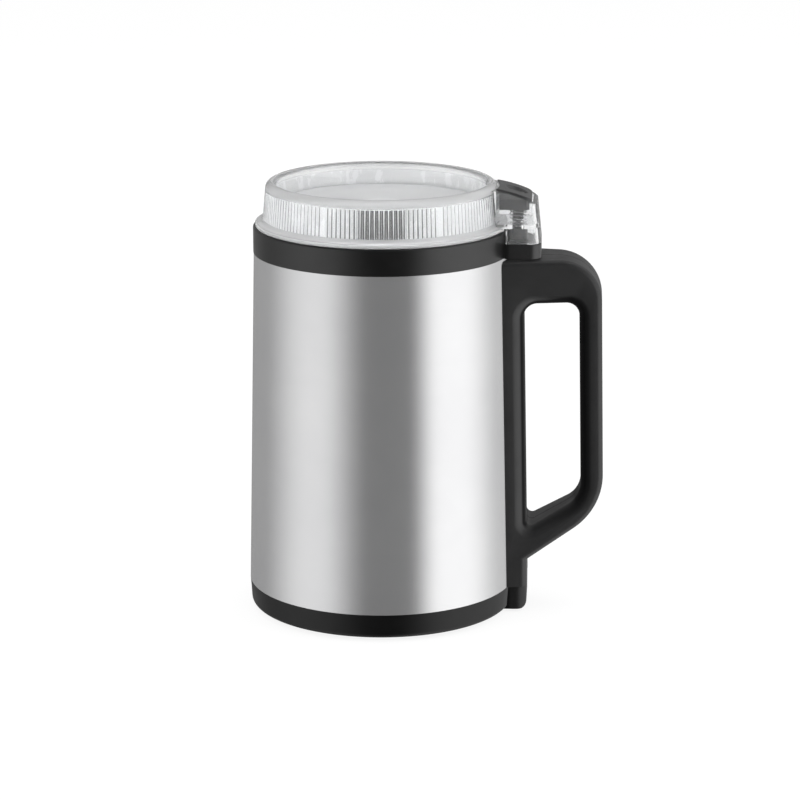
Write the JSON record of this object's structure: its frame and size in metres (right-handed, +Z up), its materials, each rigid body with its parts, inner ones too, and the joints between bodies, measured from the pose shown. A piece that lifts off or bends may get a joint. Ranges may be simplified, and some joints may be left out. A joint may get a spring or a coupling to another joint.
{
  "type": "electric coffee grinder",
  "caption": "Countertop blade grinder with a tapered steel body, side handle, clear lift-off lid with a push switch, steel bowl and a motor-driven blade.",
  "frame": {"origin": "centre of the foot ring's lower face, where the grinder stands on the table", "axes": "+Z up along the motor shaft, +X towards the handle, +Y to the rear"},
  "size_m": [0.1333, 0.1017, 0.1624],
  "materials": {
    "black_plastic": "satin moulded",
    "dark_plastic": "matte moulded",
    "black_rubber": "matte",
    "satin_steel": "satin stainless",
    "bright_steel": "bright stainless",
    "zinc_screws": "zinc plated",
    "cast_bracket": "die cast",
    "lamination_iron": "varnished laminations",
    "copper": "enamelled copper",
    "brass": "plain",
    "carbon": "sintered carbon",
    "clear_plastic": "clear moulded plastic",
    "red_plastic": "moulded"
  },
  "bodies": {
    "housing": {"foot_ring": "black_rubber", "base": "black_plastic", "base_screws": "zinc_screws", "cord_gland": "black_rubber", "steel_sleeve": "satin_steel", "top_ring": "black_plastic", "ring_screws": "zinc_screws", "motor_frame": "dark_plastic", "grinding_bowl": "bright_steel", "bowl_gasket": "black_rubber", "shaft_seal": "black_rubber", "upper_bracket": "cast_bracket", "lower_bracket": "cast_bracket", "upper_bushing": "brass", "lower_bushing": "brass", "stator_core": "lamination_iron", "field_coils": "copper", "stator_bolts": "zinc_screws", "motor_grommets": "black_rubber", "motor_screws": "zinc_screws", "brush_holders": "brass", "carbon_brushes": "carbon", "brush_springs": "bright_steel", "handle_front": "black_plastic", "handle_rear": "black_plastic", "handle_joint_screws": "zinc_screws", "handle_body_screws": "zinc_screws", "microswitch": "dark_plastic", "switch_terminals": "brass"},
    "rotor": {"motor_shaft": "bright_steel", "rotor_core": "lamination_iron", "rotor_winding": "copper", "commutator": "copper", "cooling_fan": "dark_plastic", "blade": "bright_steel", "blade_spacer": "brass", "blade_nut": "bright_steel"},
    "lid": {"lid": "clear_plastic", "button_spring": "bright_steel"},
    "button": {"push_button": "black_plastic"},
    "switch_rod": {"switch_rod": "black_plastic"},
    "switch_lever": {"switch_lever": "bright_steel"},
    "switch_plunger": {"switch_plunger": "red_plastic"}
  },
  "joints": [
    {"name": "rotor_spin", "type": "hinge", "parent": "housing", "child": "rotor", "pos_m": [0, 0, 0.1], "axis": [0, 0, 1], "continuous": true},
    {"name": "lid_lift", "type": "slide", "parent": "housing", "child": "lid", "axis": [0, 0, 1], "range_m": [0, 0.06]},
    {"name": "button_press", "type": "slide", "parent": "lid", "child": "button", "axis": [0, 0, -1], "range_m": [0, 0.002], "stiffness_N_per_m": 600, "springref_m": -0.002, "deforming": ["button_spring"]},
    {"name": "rod_slide", "type": "slide", "parent": "housing", "child": "switch_rod", "axis": [0, 0, -1], "range_m": [0, 0.0021]},
    {"name": "lever_turn", "type": "hinge", "parent": "housing", "child": "switch_lever", "pos_m": [0.0608, 0, 0.1274], "axis": [0, -1, 0], "range_deg": [0, 12]},
    {"name": "plunger_slide", "type": "slide", "parent": "housing", "child": "switch_plunger", "axis": [0, 0, -1], "range_m": [0, 0.0008]}
  ],
  "couplings": [
    {"joint": "rod_slide", "follows": "button_press", "ratio": 1},
    {"joint": "lever_turn", "follows": "button_press", "rad_per_m": 96.4},
    {"joint": "plunger_slide", "follows": "button_press", "ratio": 0.35}
  ]
}
